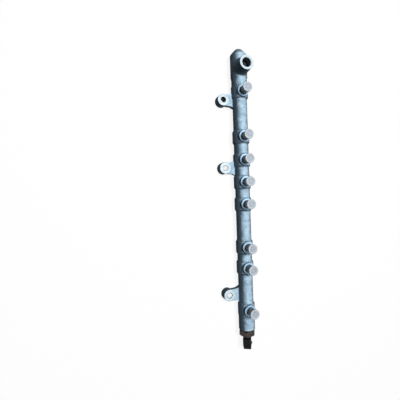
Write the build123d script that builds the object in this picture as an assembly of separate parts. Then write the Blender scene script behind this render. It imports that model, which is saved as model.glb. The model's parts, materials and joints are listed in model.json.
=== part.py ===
from build123d import *
import math
import os

# Diesel common rail: a hot-forged, deep-drilled steel tube that stores fuel at high
# pressure and feeds eight screwed outlets, with one open port, three bolt-down lugs
# and a pressure sensor screwed into one end. Millimetres.
#
# Part frame: +Z is the way the outlets point, +Y runs along the rail towards the closed
# head, and the rail lies on the +X side of its bolts. The origin is the middle of the
# middle bolt hole, on the plane of the three machined feet.

# ---- Rail: places along Y, measured from the middle bolt ----
HEAD_END = 216.0
PORT_STATION = 179.5
OUTLET_1 = 137.0
OUTLET_2 = 55.5
OUTLET_3 = 13.5
OUTLET_4 = -26.5
OUTLET_5 = -66.5
OUTLET_6 = -144.5
OUTLET_7 = -182.0
OUTLET_8 = -258.5
HEAD_LUG = 123.5
SENSOR_LUG = -231.5
SENSOR_END = -296.0

# ---- Rail: how the axis lies over the feet ----
BOLT_OFFSET = 32.0
AXIS_HEIGHT = 15.9

# ---- Rail: forged tube, its swellings and its ends ----
TUBE_D = 26.5
SWELL_D = 30.8
SWELL_LENGTH = 26.0
SWELL_RAMP = 3.0
SHOULDER_BLEND = 3.0
FORGED_BLEND = 5.0
COLLAR_D = 29.4
COLLAR_CHAMFER = 0.8
HEAD_D = 30.6
HEAD_LENGTH = 55.0
HEAD_TAPER_LENGTH = 10.5
HEAD_TIP_D = 12.0
HEAD_WAIST_D = 28.6

# ---- Rail: outlet bosses and their M14 x 1.5 stubs ----
BOSS_D = 21.4
BOSS_FACE = 18.0
BOSS_CHAMFER = 0.6
BOSS_BLEND = 1.5
STUB_D = 14.0
STUB_LENGTH = 14.0
STUB_CHAMFER = 1.0
RELIEF_D = 11.8
RELIEF_LENGTH = 1.6
SEAT_MOUTH_D = 9.2
SEAT_ANGLE = 60.0
OUTLET_BORE_D = 3.4
THROTTLE_D = 0.85
THROTTLE_LENGTH = 5.0

# ---- Rail: open M18 x 1.5 port in the head ----
PORT_ROOT_D = 30.0
PORT_FACE_D = 25.6
PORT_FACE = 34.5
PORT_EDGE = 0.8
PORT_BORE_D = 16.4
PORT_BORE_DEPTH = 17.0
PORT_MOUTH_CHAMFER = 1.0
PORT_PASSAGE_D = 7.0

# ---- Rail: lugs for M8 bolts ----
LUG_D = 21.5
LUG_HOLE_D = 9.0
LUG_HEIGHT = 16.5
LUG_HOLE_CHAMFER = 0.7
LUG_EDGE = 0.8
WEB_DROP = 1.2
WEB_THICKNESS = 9.0
WEB_WIDTH = 22.0
WEB_FLARE = 4.0
WEB_FLARE_BLEND = 8.0
WEB_COVE = 3.0
WEB_BITE = 0.05

# ---- Rail: bore and sensor port ----
MAIN_BORE_D = 10.0
DRILL_ANGLE = 118.0
SENSOR_THREAD_D = 17.0
SENSOR_THREAD_DEPTH = 15.0
SENSOR_MOUTH_CHAMFER = 0.9

# ---- Push-in plugs that keep the outlets clean ----
PLUG_HEAD_D = 17.3
PLUG_HEAD_HEIGHT = 3.6
PLUG_EDGE = 0.9
PLUG_DISH_D = 10.5
PLUG_DISH_DEPTH = 0.9
PLUG_PIN_D = 3.0
PLUG_PIN_LENGTH = 4.0
PLUG_CLEARANCE = 0.1

# ---- Pressure sensor: lengths run outwards from the rail's end face ----
SENSOR_TURN = 28.0
THREAD_CLEARANCE = 0.05
SHANK_LENGTH = 13.0
NOSE_STEP = 1.0
NOSE_RIM = 4.0
SEAL_INNER_D = 19.0
SEAL_WIDTH = 2.5
SEAL_THICKNESS = 1.5
HEX_ACROSS_FLATS = 27.0
HEX_LENGTH = 9.0
HEX_CHAMFER_ANGLE = 30.0
CRIMP_D = 22.0
CRIMP_LENGTH = 2.5
CRIMP_LIP = 0.8
CRIMP_LIP_D = 15.8
CUP_D = 18.0
CUP_FLOOR = 2.0
CHANNEL_D = 3.0
MEMBRANE_D = 9.0
MEMBRANE_HEIGHT = 3.2
MEMBRANE_WALL = 1.6
MEMBRANE_SKIN = 0.5
CARRIER_HEIGHT = 3.5
BOARD_THICKNESS = 1.0
BOARD_HOLE_D = 3.0
O_RING_SECTION = 1.8
INNER_CLEARANCE = 0.1

# ---- Sensor connector ----
SPIGOT_GAP = 0.5
FLANGE_THICKNESS = 1.6
NECK_D = 12.6
NECK_LENGTH = 3.5
SHELL_WIDTH = 14.0
SHELL_BREADTH = 20.0
SHELL_LENGTH = 17.5
SHELL_CORNER = 2.5
SHELL_WALL = 1.8
SHELL_FLOOR = 3.5
LATCH_WIDTH = 6.0
LATCH_LENGTH = 5.0
LATCH_RISE = 1.8
LATCH_SETBACK = 4.0
TERMINAL_COUNT = 3
TERMINAL_PITCH = 4.2
TERMINAL_WIDTH = 1.5
TERMINAL_THICKNESS = 0.8
TERMINAL_REACH = 8.0
TERMINAL_TIP = 0.25
SPRING_HEIGHT = 2.5
SPRING_WIDTH = 1.4
SPRING_LENGTH = 2.2
SPRING_THICKNESS = 0.25
SPRING_BEND = 0.4

# ---- Places and heights worked out from the sizes above ----
OUTLET_STATIONS = [
    OUTLET_1, OUTLET_2, OUTLET_3, OUTLET_4, OUTLET_5, OUTLET_6, OUTLET_7, OUTLET_8
]
LUG_STATIONS = [HEAD_LUG, 0, SENSOR_LUG]
STUB_TOP = BOSS_FACE + STUB_LENGTH
LUG_TOP = LUG_HEIGHT - AXIS_HEIGHT
WEB_TOP = LUG_TOP - WEB_DROP
HEX_START = SEAL_THICKNESS
HEX_TOP = HEX_START + HEX_LENGTH
CRIMP_TOP = HEX_TOP + CRIMP_LENGTH
CUP_BASE = HEX_START + CUP_FLOOR
BOARD_BASE = CUP_BASE + CARRIER_HEIGHT
BOARD_TOP = BOARD_BASE + BOARD_THICKNESS
FLANGE_TOP = CRIMP_TOP - CRIMP_LIP
FLANGE_BASE = FLANGE_TOP - FLANGE_THICKNESS
SPIGOT_D = CUP_D - 2 * O_RING_SECTION - INNER_CLEARANCE
SHELL_BASE = CRIMP_TOP + NECK_LENGTH
SHELL_TOP = SHELL_BASE + SHELL_LENGTH
SOCKET_BASE = SHELL_BASE + SHELL_FLOOR
TERMINAL_BASE = BOARD_TOP + SPRING_HEIGHT

RAIL_AXIS = Pos(BOLT_OFFSET, 0, AXIS_HEIGHT)


def slope(angle):
    """Radius gained for each millimetre along a cone of this included angle."""
    return math.tan(math.radians(angle / 2))


def turned(corners, blends=0):
    """A piece turned about Z, from the (radius, height) corners of its half section."""
    outline = FilletPolyline(*corners, radius=blends, close=True)
    return revolve(Plane.XZ * make_face(outline), Axis.Z)


def blended(carrier, added, radius):
    """Joins a forged feature to its carrier and rounds the new inside corners."""
    joined = carrier + added
    return fillet(new_edges(carrier, added, combined=joined), radius)


def forged_tube():
    """The tube with a swelling at each outlet, the sensor collar and the closed head."""
    tube, swell = TUBE_D / 2, SWELL_D / 2
    half = SWELL_LENGTH / 2
    land = half - SWELL_RAMP
    stations = sorted(OUTLET_STATIONS)
    head_start = HEAD_END - HEAD_LENGTH
    shoulders = [(COLLAR_D / 2, stations[0] - half)]
    for station in stations:
        if station != stations[0]:
            shoulders.append((tube, station - half))
        shoulders += [(swell, station - land), (swell, station + land)]
        if station != stations[-1]:
            shoulders.append((tube, station + half))
    shoulders.append((HEAD_WAIST_D / 2, stations[-1] + half))
    head = [
        (HEAD_WAIST_D / 2, head_start),
        (HEAD_D / 2, head_start + SWELL_RAMP),
        (HEAD_D / 2, HEAD_END - HEAD_TAPER_LENGTH),
        (HEAD_TIP_D / 2, HEAD_END),
    ]
    mouth = [
        (0, SENSOR_END),
        (COLLAR_D / 2 - COLLAR_CHAMFER, SENSOR_END),
        (COLLAR_D / 2, SENSOR_END + COLLAR_CHAMFER),
    ]
    points = mouth + shoulders + head + [(0, HEAD_END)]
    blends = [0] * len(mouth) + [SHOULDER_BLEND] * len(shoulders)
    blends += [FORGED_BLEND] * len(head) + [0]
    outline = FilletPolyline(*points, radius=blends, close=True)
    return revolve(make_face(outline), Axis.Y)


def outlet(station):
    """One outlet: a round boss from the rail's axis and the stub that stands on it."""
    boss, stub, relief = BOSS_D / 2, STUB_D / 2, RELIEF_D / 2
    relief_top = BOSS_FACE + RELIEF_LENGTH
    return Pos(0, station, 0) * turned(
        [
            (0, 0),
            (boss, 0),
            (boss, BOSS_FACE - BOSS_CHAMFER),
            (boss - BOSS_CHAMFER, BOSS_FACE),
            (relief, BOSS_FACE),
            (relief, relief_top),
            (stub, relief_top + stub - relief),
            (stub, STUB_TOP - STUB_CHAMFER),
            (stub - STUB_CHAMFER, STUB_TOP),
            (0, STUB_TOP),
        ]
    )


def outlet_drilling(station):
    """What is drilled from an outlet: cone seat, feed bore and the fine throttle."""
    mouth, bore, throttle = SEAT_MOUTH_D / 2, OUTLET_BORE_D / 2, THROTTLE_D / 2
    bore_base = MAIN_BORE_D / 2 + THROTTLE_LENGTH
    return Pos(0, station, 0) * turned(
        [
            (0, 0),
            (throttle, 0),
            (throttle, bore_base),
            (bore, bore_base + (bore - throttle) / slope(DRILL_ANGLE)),
            (bore, STUB_TOP - (mouth - bore) / slope(SEAT_ANGLE)),
            (mouth, STUB_TOP),
            (0, STUB_TOP),
        ]
    )


def port_boss():
    """The large drafted boss of the open port."""
    root, face = PORT_ROOT_D / 2, PORT_FACE_D / 2
    return Pos(0, PORT_STATION, 0) * turned(
        [(0, 0), (root, 0), (face, PORT_FACE), (0, PORT_FACE)],
        [0, 0, PORT_EDGE, 0],
    )


def port_drilling():
    """The port's tapped bore with its mouth chamfer, and the passage to the main bore."""
    bore, passage = PORT_BORE_D / 2, PORT_PASSAGE_D / 2
    bore_base = PORT_FACE - PORT_BORE_DEPTH
    return Pos(0, PORT_STATION, 0) * turned(
        [
            (0, 0),
            (passage, 0),
            (passage, bore_base - (bore - passage) / slope(DRILL_ANGLE)),
            (bore, bore_base),
            (bore, PORT_FACE - PORT_MOUTH_CHAMFER),
            (bore + PORT_MOUTH_CHAMFER, PORT_FACE),
            (0, PORT_FACE),
        ]
    )


def web_section():
    """A lug's web from the side: flat top, swept up into the tube by a cove, flat base."""
    hold = TUBE_D / 2 - WEB_BITE
    centre = Vector(0, WEB_TOP + WEB_COVE)
    centre.X = -math.sqrt((hold + WEB_COVE) ** 2 - centre.Y**2)
    sweep = 90 - math.degrees(math.asin(centre.Y / (hold + WEB_COVE)))
    cove = CenterArc(centre, WEB_COVE, -90, sweep)
    base = WEB_TOP - WEB_THICKNESS
    inner_side = [cove @ 1, (0, (cove @ 1).Y), (0, base)]
    outer_side = [(-BOLT_OFFSET, base), (-BOLT_OFFSET, WEB_TOP), cove @ 0]
    edges = Polyline(*inner_side, *outer_side)
    return make_face(cove + edges)


def web_plan():
    """A lug's web from above: it widens from the bolt and flares into the tube."""
    narrow, wide = LUG_D / 2 - WEB_DROP, WEB_WIDTH / 2
    flare_start, buried = TUBE_D / 2 + WEB_FLARE, TUBE_D / 2 - WEB_FLARE
    one_side = [
        (-BOLT_OFFSET, narrow),
        (-flare_start, wide),
        (-buried, wide + WEB_FLARE),
        (0, wide + WEB_FLARE),
    ]
    other_side = [(x, -y) for x, y in reversed(one_side)]
    blends = [0, WEB_FLARE_BLEND, 0, 0]
    outline = FilletPolyline(
        *one_side, *other_side, radius=blends + blends[::-1], close=True
    )
    return make_face(outline)


def lug_web(station):
    """The web that carries a lug, cut to its outline from above and from the side."""
    long_way = extrude(Plane.XZ * web_section(), WEB_WIDTH, both=True)
    upright = extrude(web_plan(), BOLT_OFFSET, both=True)
    return Pos(0, station, 0) * (long_way & upright)


def lug_boss(station):
    """The round boss of a lug, from its machined foot to its machined top."""
    edge, radius = LUG_EDGE, LUG_D / 2
    return Pos(-BOLT_OFFSET, station, -AXIS_HEIGHT) * turned(
        [(0, 0), (radius, 0), (radius, LUG_HEIGHT), (0, LUG_HEIGHT)],
        [0, edge, edge, 0],
    )


def lug_hole(station):
    """The bolt hole of a lug, sharp at the foot and eased at the top."""
    hole, ease = LUG_HOLE_D / 2, LUG_HOLE_CHAMFER
    return Pos(-BOLT_OFFSET, station, -AXIS_HEIGHT) * turned(
        [
            (0, 0),
            (hole, 0),
            (hole, LUG_HEIGHT - ease),
            (hole + ease, LUG_HEIGHT),
            (0, LUG_HEIGHT),
        ]
    )


def main_bore():
    """The long bore from the sensor end to just past the open port, and the sensor port."""
    bore, thread = MAIN_BORE_D / 2, SENSOR_THREAD_D / 2
    bore_end = PORT_STATION + bore
    thread_base = SENSOR_END + SENSOR_THREAD_DEPTH
    profile = Polygon(
        (0, SENSOR_END),
        (thread + SENSOR_MOUTH_CHAMFER, SENSOR_END),
        (thread, SENSOR_END + SENSOR_MOUTH_CHAMFER),
        (thread, thread_base),
        (bore, thread_base + (thread - bore) / slope(SEAT_ANGLE)),
        (bore, bore_end),
        (0, bore_end + bore / slope(DRILL_ANGLE)),
        align=None,
    )
    return revolve(profile, Axis.Y)


def rail_body():
    """The rail itself, one forging: outside forms first, then everything drilled."""
    body = forged_tube()
    for station in LUG_STATIONS:
        body += lug_web(station)
    body = blended(body, port_boss(), FORGED_BLEND)
    for station in OUTLET_STATIONS:
        body = blended(body, outlet(station), BOSS_BLEND)
    for station in LUG_STATIONS:
        body = body + lug_boss(station) - lug_hole(station)
    body -= main_bore()
    body -= port_drilling()
    for station in OUTLET_STATIONS:
        body -= outlet_drilling(station)
    return body


def outlet_plug(station):
    """A moulded plug: flat dished head on the stub, cone in its seat, pin in its bore."""
    head, dish, pin = PLUG_HEAD_D / 2, PLUG_DISH_D / 2, PLUG_PIN_D / 2
    cone = SEAT_MOUTH_D / 2 - PLUG_CLEARANCE
    cone_length = (cone - pin) / slope(SEAT_ANGLE)
    pin_end = -cone_length - PLUG_PIN_LENGTH
    dish_floor = PLUG_HEAD_HEIGHT - PLUG_DISH_DEPTH
    corners = [
        (0, pin_end),
        (pin, pin_end),
        (pin, -cone_length),
        (cone, 0),
        (head, 0),
        (head, PLUG_HEAD_HEIGHT),
        (dish + PLUG_DISH_DEPTH, PLUG_HEAD_HEIGHT),
        (dish, dish_floor),
        (0, dish_floor),
    ]
    blends = [0, 0, 0, 0, PLUG_EDGE / 2, PLUG_EDGE, PLUG_DISH_DEPTH / 3, 0, 0]
    return Pos(0, station, STUB_TOP) * turned(corners, blends)


def sensor_frame():
    """Where the sensor is screwed in: Z leaves the rail's end, X crosses the connector."""
    turn = math.radians(SENSOR_TURN)
    return Plane(
        origin=(0, SENSOR_END, 0),
        x_dir=(math.cos(turn), 0, math.sin(turn)),
        z_dir=(0, -1, 0),
    )


def sensor_body():
    """The steel body: sealing nose, threaded shank, hexagon and a cup crimped shut."""
    shank, tip = SENSOR_THREAD_D / 2 - THREAD_CLEARANCE, CHANNEL_D / 2 + NOSE_RIM
    relief = shank - NOSE_STEP
    seat = slope(SEAT_ANGLE)
    nose_start = -SENSOR_THREAD_DEPTH - (shank - relief) / seat
    nose_end = -SENSOR_THREAD_DEPTH - (shank - tip) / seat
    cup, lip, channel = CUP_D / 2, CRIMP_LIP_D / 2, CHANNEL_D / 2
    outside = turned(
        [
            (0, nose_end),
            (tip, nose_end),
            (relief, nose_start),
            (relief, -SHANK_LENGTH),
            (shank, NOSE_STEP - SHANK_LENGTH),
            (shank, -NOSE_STEP),
            (relief, 0),
            (relief, HEX_START),
            (HEX_ACROSS_FLATS, HEX_START),
            (HEX_ACROSS_FLATS, HEX_TOP),
            (CRIMP_D / 2, HEX_TOP),
            (CRIMP_D / 2, FLANGE_TOP),
            (CRIMP_D / 2 - CRIMP_LIP, CRIMP_TOP),
            (0, CRIMP_TOP),
        ]
    )
    inside = turned(
        [
            (0, nose_end),
            (channel, nose_end),
            (channel, CUP_BASE),
            (cup, CUP_BASE),
            (cup, FLANGE_TOP),
            (lip, FLANGE_TOP),
            (lip, CRIMP_TOP),
            (0, CRIMP_TOP),
        ]
    )
    return (outside & hex_envelope(nose_end)) - inside


def hex_envelope(start):
    """A hexagonal bar with its ends turned off at the usual angle."""
    flat = HEX_ACROSS_FLATS / 2
    corner = flat / math.cos(math.radians(30))
    drop = (corner - flat) * math.tan(math.radians(HEX_CHAMFER_ANGLE))
    bar = extrude(RegularPolygon(flat, 6, major_radius=False, rotation=30), CRIMP_TOP - start)
    cone = turned(
        [
            (0, start),
            (flat, start),
            (flat, HEX_START),
            (corner, HEX_START + drop),
            (corner, HEX_TOP - drop),
            (flat, HEX_TOP),
            (flat, CRIMP_TOP),
            (0, CRIMP_TOP),
        ]
    )
    return Pos(0, 0, start) * bar & cone


def ring(inner_d, outer_d, base, height):
    """A plain flat ring."""
    inner, outer, top = inner_d / 2, outer_d / 2, base + height
    return turned([(inner, base), (outer, base), (outer, top), (inner, top)])


def sensor_membrane():
    """The measuring cell: a steel thimble whose thin top bends under the fuel's pressure."""
    outer = MEMBRANE_D / 2
    inner = outer - MEMBRANE_WALL
    top = CUP_BASE + MEMBRANE_HEIGHT
    skin = top - MEMBRANE_SKIN
    return turned(
        [(inner, CUP_BASE), (outer, CUP_BASE), (outer, top), (0, top), (0, skin), (inner, skin)]
    )


def sensor_o_ring():
    """The seal between the connector's spigot and the wall of the steel cup."""
    section = O_RING_SECTION / 2
    centre = (SPIGOT_D + CUP_D) / 4
    return Pos(0, 0, FLANGE_BASE - section) * Torus(centre, section)


def terminal_places():
    """The terminals' places across the connector, along its broad side."""
    middle = (TERMINAL_COUNT - 1) / 2
    return [(index - middle) * TERMINAL_PITCH for index in range(TERMINAL_COUNT)]


def sensor_connector():
    """The moulded connector: flange and spigot in the cup, neck, and an open shell."""
    clearance = INNER_CLEARANCE
    flange = CUP_D / 2 - clearance
    spigot_base = BOARD_TOP + SPIGOT_GAP
    root = turned(
        [
            (0, spigot_base),
            (SPIGOT_D / 2, spigot_base),
            (SPIGOT_D / 2, FLANGE_BASE),
            (flange, FLANGE_BASE),
            (flange, FLANGE_TOP),
            (NECK_D / 2, FLANGE_TOP),
            (NECK_D / 2, SHELL_BASE),
            (0, SHELL_BASE),
        ]
    )
    shell = Pos(0, 0, SHELL_BASE) * extrude(
        RectangleRounded(SHELL_WIDTH, SHELL_BREADTH, SHELL_CORNER), SHELL_LENGTH
    )
    socket = Pos(0, 0, SOCKET_BASE) * extrude(
        RectangleRounded(
            SHELL_WIDTH - 2 * SHELL_WALL,
            SHELL_BREADTH - 2 * SHELL_WALL,
            SHELL_CORNER - SHELL_WALL / 2,
        ),
        SHELL_TOP - SOCKET_BASE,
    )
    body = root + shell + latch_ramp() - socket
    upright = (Align.CENTER, Align.CENTER, Align.MIN)
    slot = Box(
        TERMINAL_THICKNESS, TERMINAL_WIDTH, SOCKET_BASE - TERMINAL_BASE, align=upright
    )
    pocket = Box(
        SPRING_LENGTH + 2 * clearance,
        SPRING_WIDTH + 2 * clearance,
        TERMINAL_BASE - spigot_base,
        align=upright,
    )
    for place in terminal_places():
        body -= Pos(0, place, TERMINAL_BASE) * slot
        body -= Pos(0, place, spigot_base) * pocket
    return body


def latch_ramp():
    """The catch on the connector's flat side: it rises towards the rail, then drops."""
    face = SHELL_WIDTH / 2
    high = SHELL_TOP - LATCH_SETBACK - LATCH_LENGTH
    profile = Plane.XZ * Polygon(
        (face - SHELL_WALL / 2, high),
        (face + LATCH_RISE, high),
        (face, high + LATCH_LENGTH),
        (face - SHELL_WALL / 2, high + LATCH_LENGTH),
        align=None,
    )
    return extrude(profile, LATCH_WIDTH / 2, both=True)


def sensor_spring(place):
    """A strip bent to a Z, which presses a terminal's foot away from the circuit board."""
    end, low = SPRING_LENGTH / 2, SPRING_THICKNESS / 2
    high = SPRING_HEIGHT - low
    middle = FilletPolyline((-end, low), (end, low), (-end, high), (end, high), radius=SPRING_BEND)
    strip = trace(middle, SPRING_THICKNESS)
    return Pos(0, place, BOARD_TOP) * extrude(Plane.XZ * strip, SPRING_WIDTH / 2, both=True)


def sensor_terminal(place):
    """A flat blade from its contact spring to its chamfered tip in the socket."""
    length = SOCKET_BASE + TERMINAL_REACH - TERMINAL_BASE
    blade = Box(
        TERMINAL_THICKNESS,
        TERMINAL_WIDTH,
        length,
        align=(Align.CENTER, Align.CENTER, Align.MIN),
    )
    blade = chamfer(blade.faces().sort_by(Axis.Z)[-1].edges(), TERMINAL_TIP)
    return Pos(0, place, TERMINAL_BASE) * blade


def sensor_pieces():
    """Every piece of the pressure sensor by name, still in the sensor's own frame."""
    loose = 2 * INNER_CLEARANCE
    seal_outer_d = SEAL_INNER_D + 2 * SEAL_WIDTH
    pieces = {
        "sensor_body": sensor_body(),
        "sensor_seal_washer": ring(SEAL_INNER_D, seal_outer_d, 0, SEAL_THICKNESS),
        "sensor_membrane": sensor_membrane(),
        "sensor_board_carrier": ring(
            MEMBRANE_D + loose, CUP_D - loose, CUP_BASE, CARRIER_HEIGHT
        ),
        "sensor_circuit_board": ring(
            BOARD_HOLE_D, CUP_D - loose, BOARD_BASE, BOARD_THICKNESS
        ),
        "sensor_o_ring": sensor_o_ring(),
        "sensor_connector": sensor_connector(),
    }
    for number, place in enumerate(terminal_places(), start=1):
        pieces[f"sensor_contact_spring_{number}"] = sensor_spring(place)
        pieces[f"sensor_terminal_{number}"] = sensor_terminal(place)
    return pieces


def all_pieces():
    """Every piece of the rail by node name, placed in the part's frame."""
    pieces = {"rail_body": RAIL_AXIS * rail_body()}
    for number, station in enumerate(OUTLET_STATIONS, start=1):
        pieces[f"outlet_plug_{number}"] = RAIL_AXIS * outlet_plug(station)
    place = RAIL_AXIS * sensor_frame().location
    for name, piece in sensor_pieces().items():
        pieces[name] = place * piece
    return pieces


os.makedirs("parts", exist_ok=True)
for name, piece in all_pieces().items():
    piece.label = name
    export_step(piece, f"parts/{name}.step")
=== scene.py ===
import json
import math
from collections import namedtuple
from contextlib import contextmanager

import bpy
from bpy.props import (
    FloatProperty,
    FloatVectorProperty,
    IntProperty,
    PointerProperty,
    StringProperty,
)
from mathutils import Matrix, Vector


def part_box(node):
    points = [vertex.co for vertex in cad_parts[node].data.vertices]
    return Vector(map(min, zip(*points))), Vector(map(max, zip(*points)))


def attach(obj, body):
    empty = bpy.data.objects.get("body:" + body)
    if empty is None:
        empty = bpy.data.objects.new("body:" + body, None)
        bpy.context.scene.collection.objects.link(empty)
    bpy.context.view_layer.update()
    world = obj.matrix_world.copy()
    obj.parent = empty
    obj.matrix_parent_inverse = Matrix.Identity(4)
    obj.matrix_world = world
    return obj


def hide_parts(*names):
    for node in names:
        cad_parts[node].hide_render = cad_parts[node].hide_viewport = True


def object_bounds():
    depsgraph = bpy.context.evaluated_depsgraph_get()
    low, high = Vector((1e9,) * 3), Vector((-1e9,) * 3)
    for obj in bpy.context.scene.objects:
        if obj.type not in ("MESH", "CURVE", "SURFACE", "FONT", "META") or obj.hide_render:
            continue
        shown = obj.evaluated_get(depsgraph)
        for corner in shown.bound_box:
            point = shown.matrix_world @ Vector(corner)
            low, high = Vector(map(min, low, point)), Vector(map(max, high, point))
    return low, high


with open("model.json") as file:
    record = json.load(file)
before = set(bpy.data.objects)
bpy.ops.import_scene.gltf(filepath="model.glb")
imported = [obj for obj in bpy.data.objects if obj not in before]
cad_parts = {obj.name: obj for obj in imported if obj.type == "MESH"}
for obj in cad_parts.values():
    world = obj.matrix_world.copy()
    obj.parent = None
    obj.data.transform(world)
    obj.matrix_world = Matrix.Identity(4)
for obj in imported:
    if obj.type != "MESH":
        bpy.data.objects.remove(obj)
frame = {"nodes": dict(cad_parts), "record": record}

bl_info = {
    "name": "Fuel Rail Dressing",
    "version": (1, 0, 0),
    "blender": (4, 5, 0),
    "location": "3D Viewport > Sidebar > Fuel Rail",
    "description": "Threads, plugs, sensor and finishes of a forged diesel fuel rail",
    "category": "Object",
}

MM = 0.001

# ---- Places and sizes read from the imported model, in metres ----
MOUNTS = {mount["name"]: mount for mount in frame["record"]["mounts"]}
OUTLETS = [Vector(m["pos_m"]) for name, m in MOUNTS.items() if name.startswith("outlet_")]
LUGS = [Vector(m["pos_m"]) for name, m in MOUNTS.items() if name.startswith("lug_hole")]
PORT = Vector(MOUNTS["open_port"]["pos_m"])
PORT_RADIUS = MOUNTS["open_port"]["dims"]["r_mm"] * MM
PORT_WALL = MOUNTS["open_port"]["dims"]["length_mm"] * MM
PORT_FACE = PORT.z + PORT_WALL / 2
HEAD_LUG = Vector(MOUNTS["lug_hole_head"]["pos_m"])
LUG_HOLE_RADIUS = MOUNTS["lug_hole_head"]["dims"]["r_mm"] * MM
SOCKET_MOUTH = Vector(MOUNTS["sensor_socket"]["pos_m"])
RAIL_X = SOCKET_MOUTH.x
RAIL_Z = SOCKET_MOUTH.z
RAIL_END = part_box("rail_body")[0].y
STUB_TOP = OUTLETS[0].z
CAD_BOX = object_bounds()

# ---- Sizes of the forging that its record doesn't state, in metres ----
LUG_TOP = 16.5 * MM
LUG_CHAMFER_RADIUS = LUG_HOLE_RADIUS + 0.9 * MM
FACE_REACH = 11 * MM  # past the edge of an outlet's boss face or of a lug's face
PORT_REACH = 14 * MM  # past the edge of the open port's face
FACE_DEPTH = 0.7 * MM  # how far a face's rounded edge drops below it
PORT_MOUTH = 1.6 * MM  # plain length between the port's face and its thread
PORT_FLOOR = PORT.z - 0.6 * PORT_WALL  # its wall runs on a little below the thread
BORE_REACH = 9.5 * MM  # from the rail's axis, past the walls of its main bore and sensor port
BORE_END = PORT.y + PORT_RADIUS + MM  # just past the blind end of the long main bore

# ---- How places and faces are told apart ----
NEAR = 0.05 * MM  # two places closer than this are taken as one
WELD = 0.001 * MM  # two vertices closer than this become one
TURNED_UP = 0.6  # least Z of the normal on a turned face and its rounded edge
TURNED_DOWN = -0.995  # greatest Z of the normal on a lug's flat foot


# ---------------------------------------------------------------- small helpers
def linear(colour):
    """An sRGB hex colour as the linear RGBA that Blender's sockets take."""
    channels = [int(colour[i : i + 2], 16) / 255 for i in (1, 3, 5)]
    return [
        c / 12.92 if c <= 0.04045 else ((c + 0.055) / 1.055) ** 2.4 for c in channels
    ] + [1.0]


def add_node(tree, kind, inputs=None, **settings):
    """Adds a node with its settings; an input gets a value, or a link from a socket."""
    node = tree.nodes.new(kind)
    for name, value in settings.items():
        setattr(node, name, value)
    for name, value in (inputs or {}).items():
        if isinstance(value, bpy.types.NodeSocket):
            tree.links.new(value, node.inputs[name])
        else:
            node.inputs[name].default_value = value
    return node


def flat_distance(point, axis_point):
    """Distance in metres from a point to an upright axis through another point."""
    return math.hypot(point.x - axis_point.x, point.y - axis_point.y)


def make_active(piece):
    """Selects this piece alone."""
    bpy.ops.object.select_all(action="DESELECT")
    piece.select_set(True)
    bpy.context.view_layer.objects.active = piece


@contextmanager
def editing(piece):
    """Edit mode on one piece, in which vertices are selected."""
    make_active(piece)
    bpy.context.tool_settings.mesh_select_mode = (True, False, False)
    bpy.ops.object.mode_set(mode="EDIT")
    yield
    bpy.ops.object.mode_set(mode="OBJECT")


def scale_about(piece, axis_point, share, rule):
    """Scales the vertices that a rule picks about an upright axis through a point."""
    mesh = piece.data
    mesh.edges.foreach_set("select", [False] * len(mesh.edges))
    mesh.polygons.foreach_set("select", [False] * len(mesh.polygons))
    mesh.vertices.foreach_set("select", [rule(vertex) for vertex in mesh.vertices])
    with editing(piece):
        bpy.ops.transform.resize(value=(share, share, 1), center_override=axis_point)


def apply_modifier(piece, kind, **settings):
    """Adds a modifier with its settings and applies it at once."""
    make_active(piece)
    modifier = piece.modifiers.new(kind.lower(), kind)
    for name, value in settings.items():
        setattr(modifier, name, value)
    bpy.ops.object.modifier_apply(modifier=modifier.name)


def place(piece, matrix):
    """Puts a piece that was modelled at the origin in its place, within its mesh."""
    piece.matrix_world = matrix
    make_active(piece)
    bpy.ops.object.transform_apply(location=True, rotation=True, scale=True)


def settle(piece, material):
    """Gives a finished piece its material and the body that it rides on."""
    if material is not None:
        piece.data.materials.clear()
        piece.data.materials.append(material)
    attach(piece, "root")


def smooth(piece, angle=30):
    """Smooth shading, apart from edges sharper than this angle in degrees."""
    make_active(piece)
    bpy.ops.object.shade_smooth_by_angle(angle=math.radians(angle))


def round_edges(piece, width, angle=30):
    """A small round on every edge sharper than this angle in degrees."""
    apply_modifier(
        piece,
        "BEVEL",
        width=width,
        segments=2,
        limit_method="ANGLE",
        angle_limit=math.radians(angle),
        use_clamp_overlap=True,
    )


def own_copy(piece, name):
    """Another piece of the same shape, with its own mesh."""
    copy = piece.copy()
    copy.data = piece.data.copy()
    copy.name = copy.data.name = name
    bpy.context.scene.collection.objects.link(copy)
    return copy


def melt_flats(piece):
    """Joins the triangles of each flat side into one face."""
    with editing(piece):
        bpy.ops.mesh.select_all(action="SELECT")
        bpy.ops.mesh.dissolve_limited(angle_limit=math.radians(1))


def merged_copy(node, name):
    """A copy of a CAD node as one closed mesh, ready to be shaped and shaded."""
    piece = bpy.data.objects.new(name, frame["nodes"][node].data.copy())
    piece.data.name = name
    bpy.context.scene.collection.objects.link(piece)
    make_active(piece)
    bpy.ops.mesh.customdata_custom_splitnormals_clear()
    with editing(piece):
        bpy.ops.mesh.select_all(action="SELECT")
        bpy.ops.mesh.remove_doubles(threshold=WELD)
    return piece


def drawn(name, points):
    """A chain of edges, extruded from one vertex to the next."""
    bpy.ops.mesh.primitive_plane_add(size=MM)
    piece = bpy.context.object
    piece.name = piece.data.name = name
    with editing(piece):
        bpy.ops.mesh.select_all(action="SELECT")
        bpy.ops.mesh.merge(type="CENTER")
        bpy.ops.transform.translate(value=points[0])
        for start, end in zip(points, points[1:]):
            step = [b - a for a, b in zip(start, end)]
            bpy.ops.mesh.extrude_vertices_move(TRANSFORM_OT_translate={"value": step})
    return piece


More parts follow.
